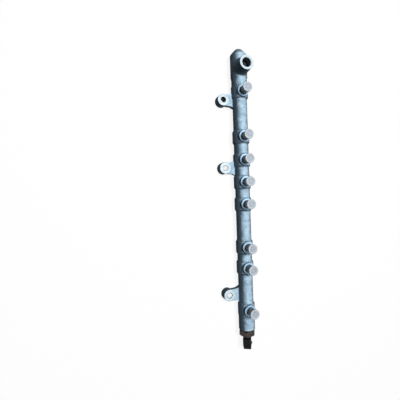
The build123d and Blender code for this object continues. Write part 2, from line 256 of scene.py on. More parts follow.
def spun(name, corners, steps):
    """A turned form from the (radius, height) corners of its half section."""
    piece = drawn(name, [(radius, 0, height) for radius, height in corners])
    with editing(piece):
        bpy.ops.mesh.select_all(action="SELECT")
        bpy.ops.mesh.spin(steps=steps, angle=2 * math.pi, center=(0, 0, 0), axis=(0, 0, 1))
        bpy.ops.mesh.select_all(action="SELECT")
        bpy.ops.mesh.remove_doubles(threshold=WELD)
        bpy.ops.mesh.normals_make_consistent(inside=False)
    return piece


def arc(centre_radius, centre_height, radius, start, end, steps=5):
    """Points of a profile's round corner, between two angles in degrees."""
    points = []
    for step in range(steps + 1):
        angle = math.radians(start + (end - start) * step / steps)
        across = centre_radius + radius * math.cos(angle)
        height = centre_height + radius * math.sin(angle)
        points.append((across, height))
    return points


def boxed(name, size, centre):
    """A block of this size about this centre, in metres."""
    bpy.ops.mesh.primitive_cube_add(size=1, location=centre, scale=size)
    piece = bpy.context.object
    piece.name = piece.data.name = name
    bpy.ops.object.transform_apply(location=True, rotation=True, scale=True)
    return piece


def join(piece, other):
    """Makes another block part of a piece."""
    apply_modifier(piece, "BOOLEAN", object=other, operation="UNION", solver="EXACT")
    bpy.data.objects.remove(other)


# ---------------------------------------------------------------- finishes
# A material, its nodes, its shader, its Object coordinates, its tone and the tone's share
Finish = namedtuple("Finish", "material tree shader where tone share")


def patches(tree, where, size_mm, first, second, detail=3, span=(0.3, 0.7), share=(0, 1)):
    """Lays a second colour over a first in patches about this many millimetres across.
    As the noise rises through the span, the second colour's share runs from one number
    to the other. Gives the colour and that share."""
    noise = add_node(
        tree,
        "ShaderNodeTexNoise",
        {"Vector": where, "Scale": 1 / (size_mm * MM), "Detail": detail, "Roughness": 0.55},
    )
    part = add_node(
        tree,
        "ShaderNodeMapRange",
        {
            "Value": noise.outputs["Fac"],
            "From Min": span[0],
            "From Max": span[1],
            "To Min": share[0],
            "To Max": share[1],
        },
    ).outputs["Result"]
    mix = add_node(
        tree, "ShaderNodeMix", {"Factor": part, 6: first, 7: second}, data_type="RGBA"
    )
    return mix.outputs[2], part


def pebbled(tree, where, size_mm, depth_mm, detail=2, beneath=None):
    """A skin with bumps of this size and depth, on top of another if one is given."""
    noise = add_node(
        tree,
        "ShaderNodeTexNoise",
        {"Vector": where, "Scale": 1 / (size_mm * MM), "Detail": detail, "Roughness": 0.55},
    )
    inputs = {"Height": noise.outputs["Fac"], "Distance": depth_mm * MM, "Strength": 1}
    if beneath is not None:
        inputs["Normal"] = beneath
    return add_node(tree, "ShaderNodeBump", inputs).outputs["Normal"]


def patched(name, dull, bright, patch_mm, rough, fine, metallic=0.0, detail=3):
    """A finish whose tone and gloss drift together in patches of this size."""
    material = bpy.data.materials.new(name)
    material.use_nodes = True
    tree = material.node_tree
    tree.nodes.clear()
    where = add_node(tree, "ShaderNodeTexCoord").outputs["Object"]
    tone, share = patches(tree, where, patch_mm, linear(dull), linear(bright), detail)
    gloss = add_node(
        tree, "ShaderNodeMapRange", {"Value": share, "To Min": rough, "To Max": fine}
    )
    shader = add_node(
        tree,
        "ShaderNodeBsdfPrincipled",
        {"Base Color": tone, "Roughness": gloss.outputs["Result"], "Metallic": metallic},
    )
    add_node(tree, "ShaderNodeOutputMaterial", {"Surface": shader.outputs["BSDF"]})
    return Finish(material, tree, shader, where, tone, share)


def textured(finish, size_mm, depth_mm):
    """A finish with bumps of this size and depth all over it."""
    skin = pebbled(finish.tree, finish.where, size_mm, depth_mm)
    finish.tree.links.new(skin, finish.shader.inputs["Normal"])
    return finish


def shared(maker):
    """The material of a maker function without settings, made once."""
    return bpy.data.materials.get(maker.__name__) or maker()


def repaint(node, material):
    """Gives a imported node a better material."""
    mesh = frame["nodes"][node].data
    mesh.materials.clear()
    mesh.materials.append(material)


def seen_directly(tree):
    """Where the camera sees a surface, or sees it in metal or through glass."""
    path = add_node(tree, "ShaderNodeLightPath")
    seen = path.outputs["Is Camera Ray"]
    for name in ("Is Glossy Ray", "Is Transmission Ray"):
        seen = add_node(
            tree, "ShaderNodeMath", {0: seen, 1: path.outputs[name]}, operation="MAXIMUM"
        ).outputs[0]
    return seen


def zinc_flake_on_forging(colours):
    """Hot-forged steel, shot-blasted, then sprayed with zinc flake: matt and silver-blue,
    with painted shade: lighter where the surface looks up towards the lamps and dark on
    the sides. A pebbled skin, cloudy patches, stains and small dull specks lie over it."""
    material, tree, shader, where, coat, share = patched(
        "zinc_flake_on_forging",
        colours.coat_dull,
        colours.coat,
        patch_mm=9.0,
        rough=0.66,
        fine=0.56,
        metallic=colours.flake,
        detail=2,
    )
    # Painted shade: how far the surface turns towards the way of the painted light
    facing_painted_light = add_node(
        tree,
        "ShaderNodeVectorMath",
        {0: add_node(tree, "ShaderNodeNewGeometry").outputs["Normal"], 1: colours.spray_way},
        operation="DOT_PRODUCT",
    ).outputs["Value"]
    # Painted shade: the coat is painted lighter as the surface turns up towards the lamps
    # and darker on the sides, and this drifts a little with the patches
    full_painted_light, drift = 0.97, 0.06
    painted_light_reach = add_node(
        tree, "ShaderNodeMath", {0: share, 1: 2 * drift, 2: facing_painted_light}, operation="MULTIPLY_ADD"
    ).outputs[0]
    painted_light_share = add_node(
        tree,
        "ShaderNodeMapRange",
        {
            "Value": painted_light_reach,
            "From Min": colours.spray_edge + drift,
            "From Max": full_painted_light + drift,
        },
    ).outputs["Result"]
    # Painted shade: the sides take the dark colour, the faces turned up the full coat
    tone = add_node(
        tree,
        "ShaderNodeMix",
        {"Factor": painted_light_share, 6: linear(colours.coat_thin), 7: coat},
        data_type="RGBA",
    ).outputs[2]
    dark = linear(colours.coat_speck)
    stained = patches(tree, where, 3.2, tone, dark, 3, span=(0.34, 0.5), share=(0.3, 0))[0]
    specked = patches(tree, where, 0.8, stained, dark, 4, span=(0.3, 0.42), share=(0.4, 0))[0]
    swell = pebbled(tree, where, size_mm=6.0, depth_mm=0.5, detail=1)
    skin = pebbled(tree, where, size_mm=0.9, depth_mm=0.09, beneath=swell)
    tree.links.new(specked, shader.inputs["Base Color"])
    tree.links.new(skin, shader.inputs["Normal"])
    shader.inputs["Specular IOR Level"].default_value = 0.08
    return material


def turned(name, dull, bright, feed_mm, oily_mm, metallic, rough, fine):
    """A turned or milled face, with the tool's rings round its own axis. The rings are
    drawn wider apart than the real 0.1 mm feed, so that they show. A painted shade lies
    dark in the corner round the stub, within the given radius in mm."""
    # Painted shade: oil is the dark colour painted in the corner round the stub, with its edge's
    # width
    oil, corner_shade_edge_mm, groove_mm = linear("#2A333B"), 0.2, 0.006
    finish = patched(name, dull, bright, 5.0, rough, fine, metallic, detail=2)
    tree = finish.tree
    from_axis = add_node(tree, "ShaderNodeAttribute", attribute_name="from_axis")
    radius = add_node(
        tree, "ShaderNodeVectorMath", {0: from_axis.outputs["Vector"]}, operation="LENGTH"
    ).outputs["Value"]
    # Painted shade: clean is the share outside the shaded corner, wiped the tone with the corner
    # shade
    clean = add_node(
        tree,
        "ShaderNodeMapRange",
        {"Value": radius, "From Min": oily_mm - corner_shade_edge_mm, "From Max": oily_mm + corner_shade_edge_mm},
    ).outputs["Result"]
    wiped = add_node(
        tree, "ShaderNodeMix", {"Factor": clean, 6: oil, 7: finish.tone}, data_type="RGBA"
    ).outputs[2]
    phase = 2 * math.pi / feed_mm
    turns = add_node(tree, "ShaderNodeMath", {0: radius, 1: phase}, operation="MULTIPLY")
    ridge = add_node(tree, "ShaderNodeMath", {0: turns.outputs[0]}, operation="SINE")
    grooves = add_node(
        tree,
        "ShaderNodeBump",
        {"Height": ridge.outputs[0], "Distance": groove_mm * MM, "Strength": 1},
    ).outputs["Normal"]
    tree.links.new(wiped, finish.shader.inputs["Base Color"])
    tree.links.new(grooves, finish.shader.inputs["Normal"])
    return finish.material


def zinc_flake_on_turned_face(colours):
    """Boss faces, turned and then coated with the forging: smooth, pale blue-grey, with
    painted shade in the corner round the stub.
    """
    return turned(
        "zinc_flake_on_turned_face",
        colours.ring_dull,
        colours.ring,
        colours.feed_mm,
        # Painted shade: radius of the dark corner painted round the stub
        colours.oily_mm,
        metallic=0.35,
        rough=0.46,
        fine=0.38,
    )


def bare_turned_steel(colours):
    """Lug and port faces, machined after coating: bare steel, fine and bright."""
    return turned(
        "bare_turned_steel",
        colours.face_dull,
        colours.face,
        colours.feed_mm,
        oily_mm=0,
        metallic=0.12,
        rough=0.6,
        fine=0.52,
    )


def oiled_drilled_steel_painted_shade():
    """Bare drilled steel inside holes, under a film of preserving oil, painted nearly black
    as the shade inside the holes: dark grey.
    """
    return patched("oiled_drilled_steel_painted_shade", "#14181C", "#2A3036", 2.5, 0.5, 0.32, 0.8).material


def clean_reamed_steel():
    """Bolt holes reamed and wiped clean: bright, so that the floor beneath shows in them."""
    return patched("clean_reamed_steel", "#E4EAEE", "#F4F7F9", 2.5, 0.2, 0.12, 1.0).material


def drilled_steel_painted_deep_shade():
    """Drilled steel in the head lug's hole, painted nearly black and dull: painted shade."""
    finish = patched("drilled_steel_painted_deep_shade", "#050606", "#0E1011", 2.5, 0.6, 0.5)
    finish.shader.inputs["Specular IOR Level"].default_value = 0.1
    return finish.material


def coated_thread():
    """Cut and coated thread flanks: the coat is thinner there and its roots are dark."""
    return patched("coated_thread", "#343C42", "#66727C", 1.6, 0.46, 0.34, 0.4).material


def natural_polyethylene():
    """Moulded LDPE without pigment: milky, soft and waxy, so that light spreads in it."""
    return waxy("natural_polyethylene", "#ABB4BC", "#C0C8CE")


def polyethylene_painted_dish_shade():
    """The same plastic, painted greyer in the floor of a plug's dish: painted shade."""
    return waxy("polyethylene_painted_dish_shade", "#8E99A4", "#A8B1BC")


def waxy(name, dull, bright):
    """Waxy plastic whose tone drifts with the mould's flow."""
    finish = textured(patched(name, dull, bright, 3.0, 0.46, 0.36, detail=2), 0.7, 0.02)
    finish.shader.inputs["IOR"].default_value = 1.51
    finish.shader.inputs["Subsurface Weight"].default_value = 0.3
    finish.shader.inputs["Subsurface Radius"].default_value = (0.9, 1.0, 1.1)
    finish.shader.inputs["Subsurface Scale"].default_value = 1.0 * MM
    return finish.material


def browned_turned_steel():
    """Turned steel with a dark brown conversion coat: half matt, a little uneven."""
    finish = patched("browned_turned_steel", "#100D0C", "#40332F", 4.0, 0.48, 0.34, 0.3)
    return textured(finish, 0.5, 0.01).material


def black_glass_filled_pbt():
    """Black glass-filled PBT from a spark-eroded mould: matt, with a fine even grain."""
    finish = patched("black_glass_filled_pbt", "#070708", "#0E0E0F", 5.0, 0.5, 0.38, detail=2)
    textured(finish, 0.25, 0.015)
    finish.shader.inputs["IOR"].default_value = 1.58
    finish.shader.inputs["Specular IOR Level"].default_value = 0.1
    return finish.material


def annealed_soft_iron():
    """Soft iron sealing ring, stamped and annealed: dark, dull and slightly blue."""
    return patched("annealed_soft_iron", "#33373B", "#4E545A", 3.0, 0.5, 0.38, 0.9).material


def ground_stainless_steel():
    """Stainless steel, ground: bright and slightly warm."""
    return patched("ground_stainless_steel", "#A9A8A5", "#C9C8C4", 1.5, 0.34, 0.24, 1.0).material


def moulded_black_pbt():
    """Black PBT, moulded: half matt."""
    return patched("moulded_black_pbt", "#18181A", "#242426", 2.5, 0.5, 0.4).material


def solder_masked_laminate():
    """Glass-epoxy board under solder mask: deep green and glossy."""
    return patched("solder_masked_laminate", "#164A2C", "#1F6139", 2.0, 0.34, 0.22).material


def nitrile_rubber():
    """Nitrile rubber, pressed: black with a dry bloom."""
    return patched("nitrile_rubber", "#1B1B1C", "#2A2A2B", 1.5, 0.7, 0.55).material


def tinned_brass():
    """Stamped brass under bright tin: silvery, with softer patches."""
    return patched("tinned_brass", "#B4B2A8", "#D6D4CC", 0.8, 0.36, 0.24, 1.0).material


def rolled_phosphor_bronze():
    """Spring strip of rolled phosphor bronze: warm and bright."""
    return patched("rolled_phosphor_bronze", "#A5714A", "#C08B5E", 0.6, 0.34, 0.24, 1.0).material


def white_sweep():
    """Studio floor: seen white, by its glow, with the object's soft shadow in its paint.
    It throws little light back at the object, so that the object's sides stay dark."""
    material = bpy.data.materials.new("painted_studio_floor")
    material.use_nodes = True
    tree = material.node_tree
    tree.nodes.clear()
    unseen = add_node(tree, "ShaderNodeBsdfDiffuse", {"Color": linear("#2E2E2E")})
    paint = add_node(tree, "ShaderNodeBsdfDiffuse", {"Color": linear("#F4F4F4")})
    glow = add_node(tree, "ShaderNodeEmission", {"Color": linear("#FFFFFF")})
    glow_share = 0.9
    shown = add_node(
        tree, "ShaderNodeMixShader", {0: glow_share, 1: paint.outputs[0], 2: glow.outputs[0]}
    )
    mix = add_node(
        tree,
        "ShaderNodeMixShader",
        {0: seen_directly(tree), 1: unseen.outputs[0], 2: shown.outputs[0]},
    )
    add_node(tree, "ShaderNodeOutputMaterial", {"Surface": mix.outputs[0]})
    return material


# ---------------------------------------------------------------- settings
class ForgingSettings(bpy.types.PropertyGroup):
    """Colours, painted shade and tool marks of the coated forging."""

    coat: StringProperty(
        name="Coat", description="Zinc-flake coat where it lies thick", default="#B6D1E4"
    )
    coat_dull: StringProperty(
        name="Dull coat", description="Its duller patches", default="#9CB8CB"
    )
    # Painted shade: the dark colour painted on the forging's sides
    coat_thin: StringProperty(
        name="Thin coat", description="Where the spray hardly reached", default="#42525E"
    )
    coat_speck: StringProperty(
        name="Specks", description="Dull specks in the coat", default="#627583"
    )
    # Painted light: the coat is painted lightest on faces turned this way, near the key lamp's way
    spray_way: FloatVectorProperty(
        name="Spray's way",
        description="Where the coat was sprayed from",
        default=(0.04, 0.1, 0.99),
        subtype="DIRECTION",
    )
    # Painted shade: cosine to that way at which the painted side shade is darkest
    spray_edge: FloatProperty(
        name="Spray's edge",
        description="Cosine to the spray's way at which the coat is at its thinnest",
        default=0.62,
        min=0,
        max=0.9,
    )
    ring: StringProperty(
        name="Boss face", description="The coat on a turned boss face", default="#AACCE8"
    )
    ring_dull: StringProperty(
        name="Dull boss face", description="Its duller patches", default="#90B2CE"
    )
    face: StringProperty(
        name="Bare face", description="Bare steel of lug and port faces", default="#C9D8DF"
    )
    face_dull: StringProperty(
        name="Dull bare face", description="Its duller patches", default="#B3C2CA"
    )
    flake: FloatProperty(
        name="Flake",
        description="How much of the coat mirrors like metal",
        default=0.05,
        min=0,
        max=1,
        subtype="FACTOR",
    )
    feed_mm: FloatProperty(
        name="Tool ring spacing",
        description="Distance in mm between the tool's rings on a turned face",
        default=0.45,
        min=0.05,
        max=2,
    )
    # Painted shade: radius in mm of the dark corner painted round the stub on a boss face
    oily_mm: FloatProperty(
        name="Oily corner",
        description="Radius in mm within which oil lies dark on a boss face",
        default=7.3,
        min=0,
        max=10,
    )


class ThreadSettings(bpy.types.PropertyGroup):
    """Sizes of the outlet stubs' threads and of the open port's thread."""

    pitch: FloatProperty(
        name="Pitch", description="From crest to crest", default=1.5 * MM, unit="LENGTH"
    )
    depth: FloatProperty(
        name="Depth", description="From crest to root", default=0.86 * MM, unit="LENGTH"
    )
    stub_diameter: FloatProperty(
        name="Stub diameter", description="Over the crests", default=14 * MM, unit="LENGTH"
    )
    stub_length: FloatProperty(
        name="Stub length",
        description="From the boss's face to the stub's top",
        default=14 * MM,
        unit="LENGTH",
    )
    stub_relief: FloatProperty(
        name="Stub relief",
        description="Plain length between the boss's face and the thread",
        default=3.3 * MM,
        unit="LENGTH",
    )
    top_margin: FloatProperty(
        name="Top margin",
        description="Plain length between the thread and the top",
        default=1.2 * MM,
        unit="LENGTH",
    )
    steps: IntProperty(
        name="Steps", description="Steps in each turn", default=40, min=12, max=96
    )


class PlugSettings(bpy.types.PropertyGroup):
    """Sizes of the push-in plugs."""

    head_diameter: FloatProperty(
        name="Head diameter", description="Over the head", default=17.3 * MM, unit="LENGTH"
    )
    head_height: FloatProperty(
        name="Head height", description="Above the stub", default=3.6 * MM, unit="LENGTH"
    )
    edge: FloatProperty(
        name="Edge round", description="On the head's top edge", default=0.9 * MM, unit="LENGTH"
    )
    foot: FloatProperty(
        name="Foot round", description="On the head's low edge", default=0.45 * MM, unit="LENGTH"
    )
    dish_diameter: FloatProperty(
        name="Dish diameter", description="Across its floor", default=10.5 * MM, unit="LENGTH"
    )
    dish_depth: FloatProperty(
        name="Dish depth", description="Below the rim", default=0.9 * MM, unit="LENGTH"
    )
    gate_diameter: FloatProperty(
        name="Gate diameter",
        description="Nub in the dish, where the mould was filled",
        default=2.4 * MM,
        unit="LENGTH",
    )
    gate_height: FloatProperty(
        name="Gate height", description="Of that nub", default=0.3 * MM, unit="LENGTH"
    )
    cone_diameter: FloatProperty(
        name="Cone diameter", description="At the stub's top", default=9.0 * MM, unit="LENGTH"
    )
    pin_diameter: FloatProperty(
        name="Pin diameter", description="In the stub's bore", default=3.0 * MM, unit="LENGTH"
    )


class SensorSettings(bpy.types.PropertyGroup):
    """Sizes of the pressure sensor and its moulded connector."""

    turn: FloatProperty(
        name="Turn",
        description="How far the connector is turned about the rail",
        default=math.radians(28),
        subtype="ANGLE",
    )
    steel_edge: FloatProperty(
        name="Steel edge", description="Round on steel edges", default=0.2 * MM, unit="LENGTH"
    )
    mould_edge: FloatProperty(
        name="Moulded edge", description="Round on moulded edges", default=0.35 * MM, unit="LENGTH"
    )
    shell_length: FloatProperty(
        name="Shell length", description="Of the open shell", default=17.5 * MM, unit="LENGTH"
    )
    shell_width: FloatProperty(
        name="Shell width", description="Across its flat sides", default=14 * MM, unit="LENGTH"
    )
    rib_width: FloatProperty(
        name="Rib width", description="Of a coding rib", default=1.4 * MM, unit="LENGTH"
    )
    rib_height: FloatProperty(
        name="Rib height", description="Of a coding rib", default=0.9 * MM, unit="LENGTH"
    )
    rib_spacing: FloatProperty(
        name="Rib spacing", description="Between coding ribs", default=8 * MM, unit="LENGTH"
    )


class StageSettings(bpy.types.PropertyGroup):
    """Camera, lamps, sky and floor."""

    camera_place: FloatVectorProperty(
        name="Camera place",
        description="Where the camera stands",
        default=(-0.2045, -0.05226, 0.52232),
        subtype="TRANSLATION",
    )
    camera_turn: FloatVectorProperty(
        name="Camera turn",
        description="The camera's turn from looking straight down",
        default=(math.radians(0.154), math.radians(-16.931), math.radians(-2.013)),
        subtype="EULER",
    )
    focal_length: FloatProperty(
        name="Focal length", description="In mm, on a 36 mm sensor", default=27.04, min=8
    )
    key_way: FloatVectorProperty(
        name="Key lamp's way",
        description="From the rail's middle to the large lamp, nearly straight above it",
        default=(0.06, 0.18, 0.98),
        subtype="DIRECTION",
    )
    key_power: FloatProperty(
        name="Key lamp's power", description="Radiant power", default=44, unit="POWER"
    )
    key_size: FloatProperty(
        name="Key lamp's size", description="Side of the lamp", default=0.5, unit="LENGTH"
    )
    top_power: FloatProperty(
        name="Top lamp's power", description="Radiant power", default=2, unit="POWER"
    )
    lamp_distance: FloatProperty(
        name="Lamp distance", description="From the rail's middle", default=2.0, unit="LENGTH"
    )
    sky: StringProperty(name="Sky", description="Colour of the light all round", default="#C4D4E6")
    sky_strength: FloatProperty(
        name="Sky strength", description="Strength of the light all round", default=0.035, min=0
    )
    floor_size: FloatProperty(
        name="Floor size", description="Side of the floor", default=12, unit="LENGTH"
    )


SETTINGS = {
    "rail_forging": ForgingSettings,
    "rail_thread": ThreadSettings,
    "rail_plug": PlugSettings,
    "rail_sensor": SensorSettings,
    "rail_stage": StageSettings,
}


# ---------------------------------------------------------------- the forging
class FUELRAIL_OT_dress_forging(bpy.types.Operator):
    """Dress the forging: coat, turned faces, drilled holes and thread roots"""

    bl_idname = "fuelrail.dress_forging"
    bl_label = "Dress the forging"

    # The forging's finishes, in the order in which execute adds them
    COAT, RING, FACE, HOLE, THREAD, CLEAN_HOLE, GREASED_HOLE = range(7)

    def execute(self, context):
        settings = context.scene.rail_forging
        thread = context.scene.rail_thread
        forging = merged_copy("rail_body", "coated_forging")
        self.cut_to_roots(forging, thread)
        forging.data.materials.clear()
        for finish in (
            zinc_flake_on_forging(settings),
            zinc_flake_on_turned_face(settings),
            bare_turned_steel(settings),
            shared(oiled_drilled_steel_painted_shade),
            shared(coated_thread),
            clean_reamed_steel(),
            drilled_steel_painted_deep_shade(),
        ):
            forging.data.materials.append(finish)
        self.sort_faces(forging, thread)
        smooth(forging, 28)
        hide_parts("rail_body")
        settle(forging, None)
        return {"FINISHED"}

    def cut_to_roots(self, forging, thread):
        """Moves threaded walls from their crests, as packed, to the roots of the thread."""
        radius = thread.stub_diameter / 2
        for outlet in OUTLETS:
            scale_about(
                forging,
                outlet,
                (radius - thread.depth) / radius,
                lambda v: abs(flat_distance(v.co, outlet) - radius) < NEAR
                and 0 < STUB_TOP - v.co.z < thread.stub_length,
            )
        start = PORT_FACE - PORT_MOUTH
        with editing(forging):
            for height in (start, start - thread.depth):
                bpy.ops.mesh.select_all(action="SELECT")
                bpy.ops.mesh.bisect(plane_co=(0, 0, height), plane_no=(0, 0, 1))
        scale_about(
            forging,
            PORT,
            (PORT_RADIUS + thread.depth) / PORT_RADIUS,
            lambda v: abs(flat_distance(v.co, PORT) - PORT_RADIUS) < NEAR
            and PORT_FLOOR < v.co.z < start - NEAR,
        )

    def sort_faces(self, forging, thread):
        """Gives each face its finish, and a turned face its distance from its axis in mm."""
        mesh = forging.data
        from_axis = mesh.attributes.new("from_axis", "FLOAT_VECTOR", "CORNER")
        for face in mesh.polygons:
            axis = turned_about(face, STUB_TOP - thread.stub_length)
            if axis is not None:
                face.material_index = self.RING if axis in OUTLETS else self.FACE
                for corner in face.loop_indices:
                    point = mesh.vertices[mesh.loops[corner].vertex_index].co
                    offset = (point - axis) / MM
                    from_axis.data[corner].vector = (offset.x, offset.y, 0)
            else:
                face.material_index = self.finish_at(face.center, thread)

    def finish_at(self, point, thread):
        """The finish at a point of the forging that isn't on a turned face."""
        if on_stub(point, thread):
            return self.THREAD
        # Painted shade: the head lug's hole is painted nearly black, the other lug holes stay
        # bright
        if flat_distance(point, HEAD_LUG) < LUG_CHAMFER_RADIUS:
            return self.GREASED_HOLE
        if any(flat_distance(point, lug) < LUG_HOLE_RADIUS + NEAR for lug in LUGS):
            return self.CLEAN_HOLE
        # Painted shade: holes and lug chamfers take the oiled steel painted as the shade in the
        # holes
        return self.HOLE if drilled(point) else self.COAT


def turned_about(face, boss_face):
    """The axis of the turned or milled face that a mesh face is on, or None."""
    centre, upward = face.center, face.normal.z
    faces_up, faces_down = upward > TURNED_UP, upward < TURNED_DOWN
    for outlet in OUTLETS:
        if flat_distance(centre, outlet) < FACE_REACH and faces_up:
            return outlet if abs(centre.z - boss_face) < FACE_DEPTH else None
    for lug in LUGS:
        on_top = faces_up and abs(centre.z - LUG_TOP) < FACE_DEPTH
        on_foot = faces_down and centre.z < FACE_DEPTH
        beside = LUG_CHAMFER_RADIUS < flat_distance(centre, lug) < FACE_REACH
        if beside and (on_top or on_foot):
            return lug
    on_port_face = faces_up and centre.z > PORT_FACE - FACE_DEPTH
    return PORT if on_port_face and flat_distance(centre, PORT) < PORT_REACH else None


def on_stub(point, thread):
    """Whether a point of the forging lies on an outlet's stub."""
    above_boss = point.z > STUB_TOP - thread.stub_length + NEAR
    radius = thread.stub_diameter / 2 + NEAR
    return above_boss and any(flat_distance(point, outlet) < radius for outlet in OUTLETS)


def drilled(point):
    """Whether a point of the forging lies in one of its holes or on a lug's chamfer."""
    in_port = flat_distance(point, PORT) < PORT_RADIUS + MM and point.z > RAIL_Z
    in_lug = any(flat_distance(point, lug) < LUG_CHAMFER_RADIUS for lug in LUGS)
    about_bore = math.hypot(point.x - RAIL_X, point.z - RAIL_Z) < BORE_REACH
    in_bore = about_bore and point.y < BORE_END
    return in_port or in_lug or in_bore


# ---------------------------------------------------------------- the threads
class FUELRAIL_OT_cut_threads(bpy.types.Operator):
    """Cut the outlets' outside threads and the open port's inside thread"""

    bl_idname = "fuelrail.cut_threads"
    bl_label = "Cut the threads"

    def execute(self, context):
        thread = context.scene.rail_thread
        crest = thread.stub_diameter / 2
        length = thread.stub_length - thread.stub_relief - thread.top_margin
        ridge = thread_ridge("outlet_thread_1", crest - thread.depth, crest, length, thread)
        low = STUB_TOP - thread.top_margin - length
        ridges = [ridge]
        for number in range(2, len(OUTLETS) + 1):
            ridges.append(own_copy(ridge, f"outlet_thread_{number}"))
        for piece, outlet in zip(ridges, OUTLETS):
            place(piece, Matrix.Translation((outlet.x, outlet.y, low)))
            settle(piece, shared(coated_thread))
        port_length = PORT_WALL - 2 * thread.pitch
        port_ridge = thread_ridge(
            "port_thread", PORT_RADIUS + thread.depth, PORT_RADIUS, port_length, thread
        )
        port_low = PORT_FACE - thread.pitch - port_length
        place(port_ridge, Matrix.Translation((PORT.x, PORT.y, port_low)))
        settle(port_ridge, shared(oiled_drilled_steel_painted_shade))
        return {"FINISHED"}


def thread_ridge(name, root, crest, length, thread):
    """One helical ridge about Z, from the root radius to the crest, run out at both ends.
    Its foot is sunk a little into the wall, and its section has four corners."""
    sunk = root + math.copysign(0.1 * MM, root - crest)
    at_root, at_crest = 0.45 * thread.pitch, 0.07 * thread.pitch
    ridge = drawn(
        name,
        [(sunk, 0, -at_root), (crest, 0, -at_crest), (crest, 0, at_crest), (sunk, 0, at_root)],
    )
    with editing(ridge):
        bpy.ops.mesh.select_all(action="SELECT")
        bpy.ops.mesh.edge_face_add()
    rings = round(length / thread.pitch * thread.steps)
    apply_modifier(
        ridge,
        "SCREW",
        angle=2 * math.pi * rings / thread.steps,
        screw_offset=length,
        steps=rings,
        render_steps=rings,
        use_smooth_shade=False,
    )
    with editing(ridge):
        bpy.ops.mesh.select_all(action="SELECT")
        bpy.ops.mesh.fill_holes(sides=4)
        bpy.ops.mesh.select_all(action="SELECT")
        bpy.ops.mesh.normals_make_consistent(inside=False)
    run_out(ridge, crest, sunk, rings, thread.steps // 3)
    smooth(ridge, 40)
    return ridge


def run_out(ridge, crest, sunk, rings, stretch):
    """Sinks a ridge's crest evenly into its wall over a stretch of rings at both ends."""
    corners, axis = 4, Vector((0, 0, 0))
    for ring in range(stretch):
        target = sunk + (crest - sunk) * ring / stretch
        rows = {ring, rings - ring}
        scale_about(
            ridge,
            axis,
            target / crest,
            lambda v: v.index // corners in rows
            and abs(flat_distance(v.co, axis) - crest) < NEAR,
        )


# ---------------------------------------------------------------- the plugs
class FUELRAIL_OT_fit_plugs(bpy.types.Operator):
    """Mould the push-in plugs and fit one to each outlet"""

    bl_idname = "fuelrail.fit_plugs"
    bl_label = "Fit the plugs"

    def execute(self, context):
        plug = self.moulded(context.scene.rail_plug)
        plugs = [plug]
        for number in range(2, len(OUTLETS) + 1):
            plugs.append(own_copy(plug, f"milky_plug_{number}"))
        for number, (piece, outlet) in enumerate(zip(plugs, OUTLETS), start=1):
            place(piece, Matrix.Translation(outlet))
            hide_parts(f"outlet_plug_{number}")
            settle(piece, None)
        return {"FINISHED"}

    def moulded(self, size):
        """A plug at the origin, which is the middle of the stub's top."""
        head, top = size.head_diameter / 2, size.head_height
        dish, floor = size.dish_diameter / 2, size.head_height - size.dish_depth
        cone, pin = size.cone_diameter / 2, size.pin_diameter / 2
        pin_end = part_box("outlet_plug_1")[0].z - STUB_TOP
        cone_half_angle = math.radians(30)
        cone_end = -(cone - pin) / math.tan(cone_half_angle)
        gate = size.gate_diameter / 2
        rim_round, flare = 0.3 * MM, 1.35 * size.dish_depth
        corners = [(0, pin_end), (pin, pin_end), (pin, cone_end), (cone, 0)]
        corners += arc(head - size.foot, size.foot, size.foot, -90, 0)
        corners += arc(head - size.edge, top - size.edge, size.edge, 0, 90)
        corners += arc(dish + flare, top - rim_round, rim_round, 90, 135)
        corners += [(dish, floor), (gate, floor)]
        corners += arc(gate - size.gate_height, floor, size.gate_height, 0, 90)
        corners.append((0, floor + size.gate_height))
        plug = spun("milky_plug_1", corners, steps=64)
        smooth(plug, 35)
        plug.data.materials.append(natural_polyethylene())
        plug.data.materials.append(polyethylene_painted_dish_shade())
        # Painted shade: the dish's floor takes the greyer copy of the plastic
        for face in plug.data.polygons:
            in_dish = gate < flat_distance(face.center, Vector((0, 0, 0))) < dish
            face.material_index = int(in_dish and face.center.z > floor - NEAR)
        return plug


# ---------------------------------------------------------------- the sensor
class FUELRAIL_OT_dress_sensor(bpy.types.Operator):
    """Dress the sensor's steel body, its seal and the small pieces inside it"""

    bl_idname = "fuelrail.dress_sensor"
    bl_label = "Dress the sensor"

    def execute(self, context):
        size = context.scene.rail_sensor
        body = merged_copy("sensor_body", "browned_sensor_body")
        melt_flats(body)
        round_edges(body, size.steel_edge)
        smooth(body, 35)
        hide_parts("sensor_body")
        settle(body, shared(browned_turned_steel))
        repaint("sensor_seal_washer", annealed_soft_iron())
        repaint("sensor_membrane", ground_stainless_steel())
        repaint("sensor_board_carrier", moulded_black_pbt())
        repaint("sensor_circuit_board", solder_masked_laminate())
        repaint("sensor_o_ring", nitrile_rubber())
        for name in sorted(frame["nodes"]):
            if name.startswith("sensor_terminal"):
                repaint(name, shared(tinned_brass))
            if name.startswith("sensor_contact_spring"):
                repaint(name, shared(rolled_phosphor_bronze))
        return {"FINISHED"}


